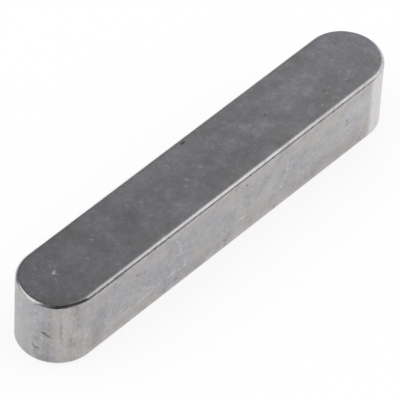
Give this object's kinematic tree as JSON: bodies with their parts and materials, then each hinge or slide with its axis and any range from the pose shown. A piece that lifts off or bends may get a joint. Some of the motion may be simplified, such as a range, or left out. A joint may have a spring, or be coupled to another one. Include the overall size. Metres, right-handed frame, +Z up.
{
  "type": "parallel key",
  "caption": "Plain steel parallel key with both ends round, square section and chamfered edges, for keying a hub to a shaft.",
  "frame": {"origin": "middle of the bottom face, the face that seats on the floor of the shaft's keyway", "axes": "+X along the key, +Y across it from flank to flank, +Z up from the bottom face to the top face"},
  "size_m": [0.036, 0.006, 0.006],
  "materials": {
    "steel": "bare drawn steel, satin, lightly scuffed"
  },
  "bodies": {
    "root": {"parallel_key": "steel"}
  },
  "joints": []
}
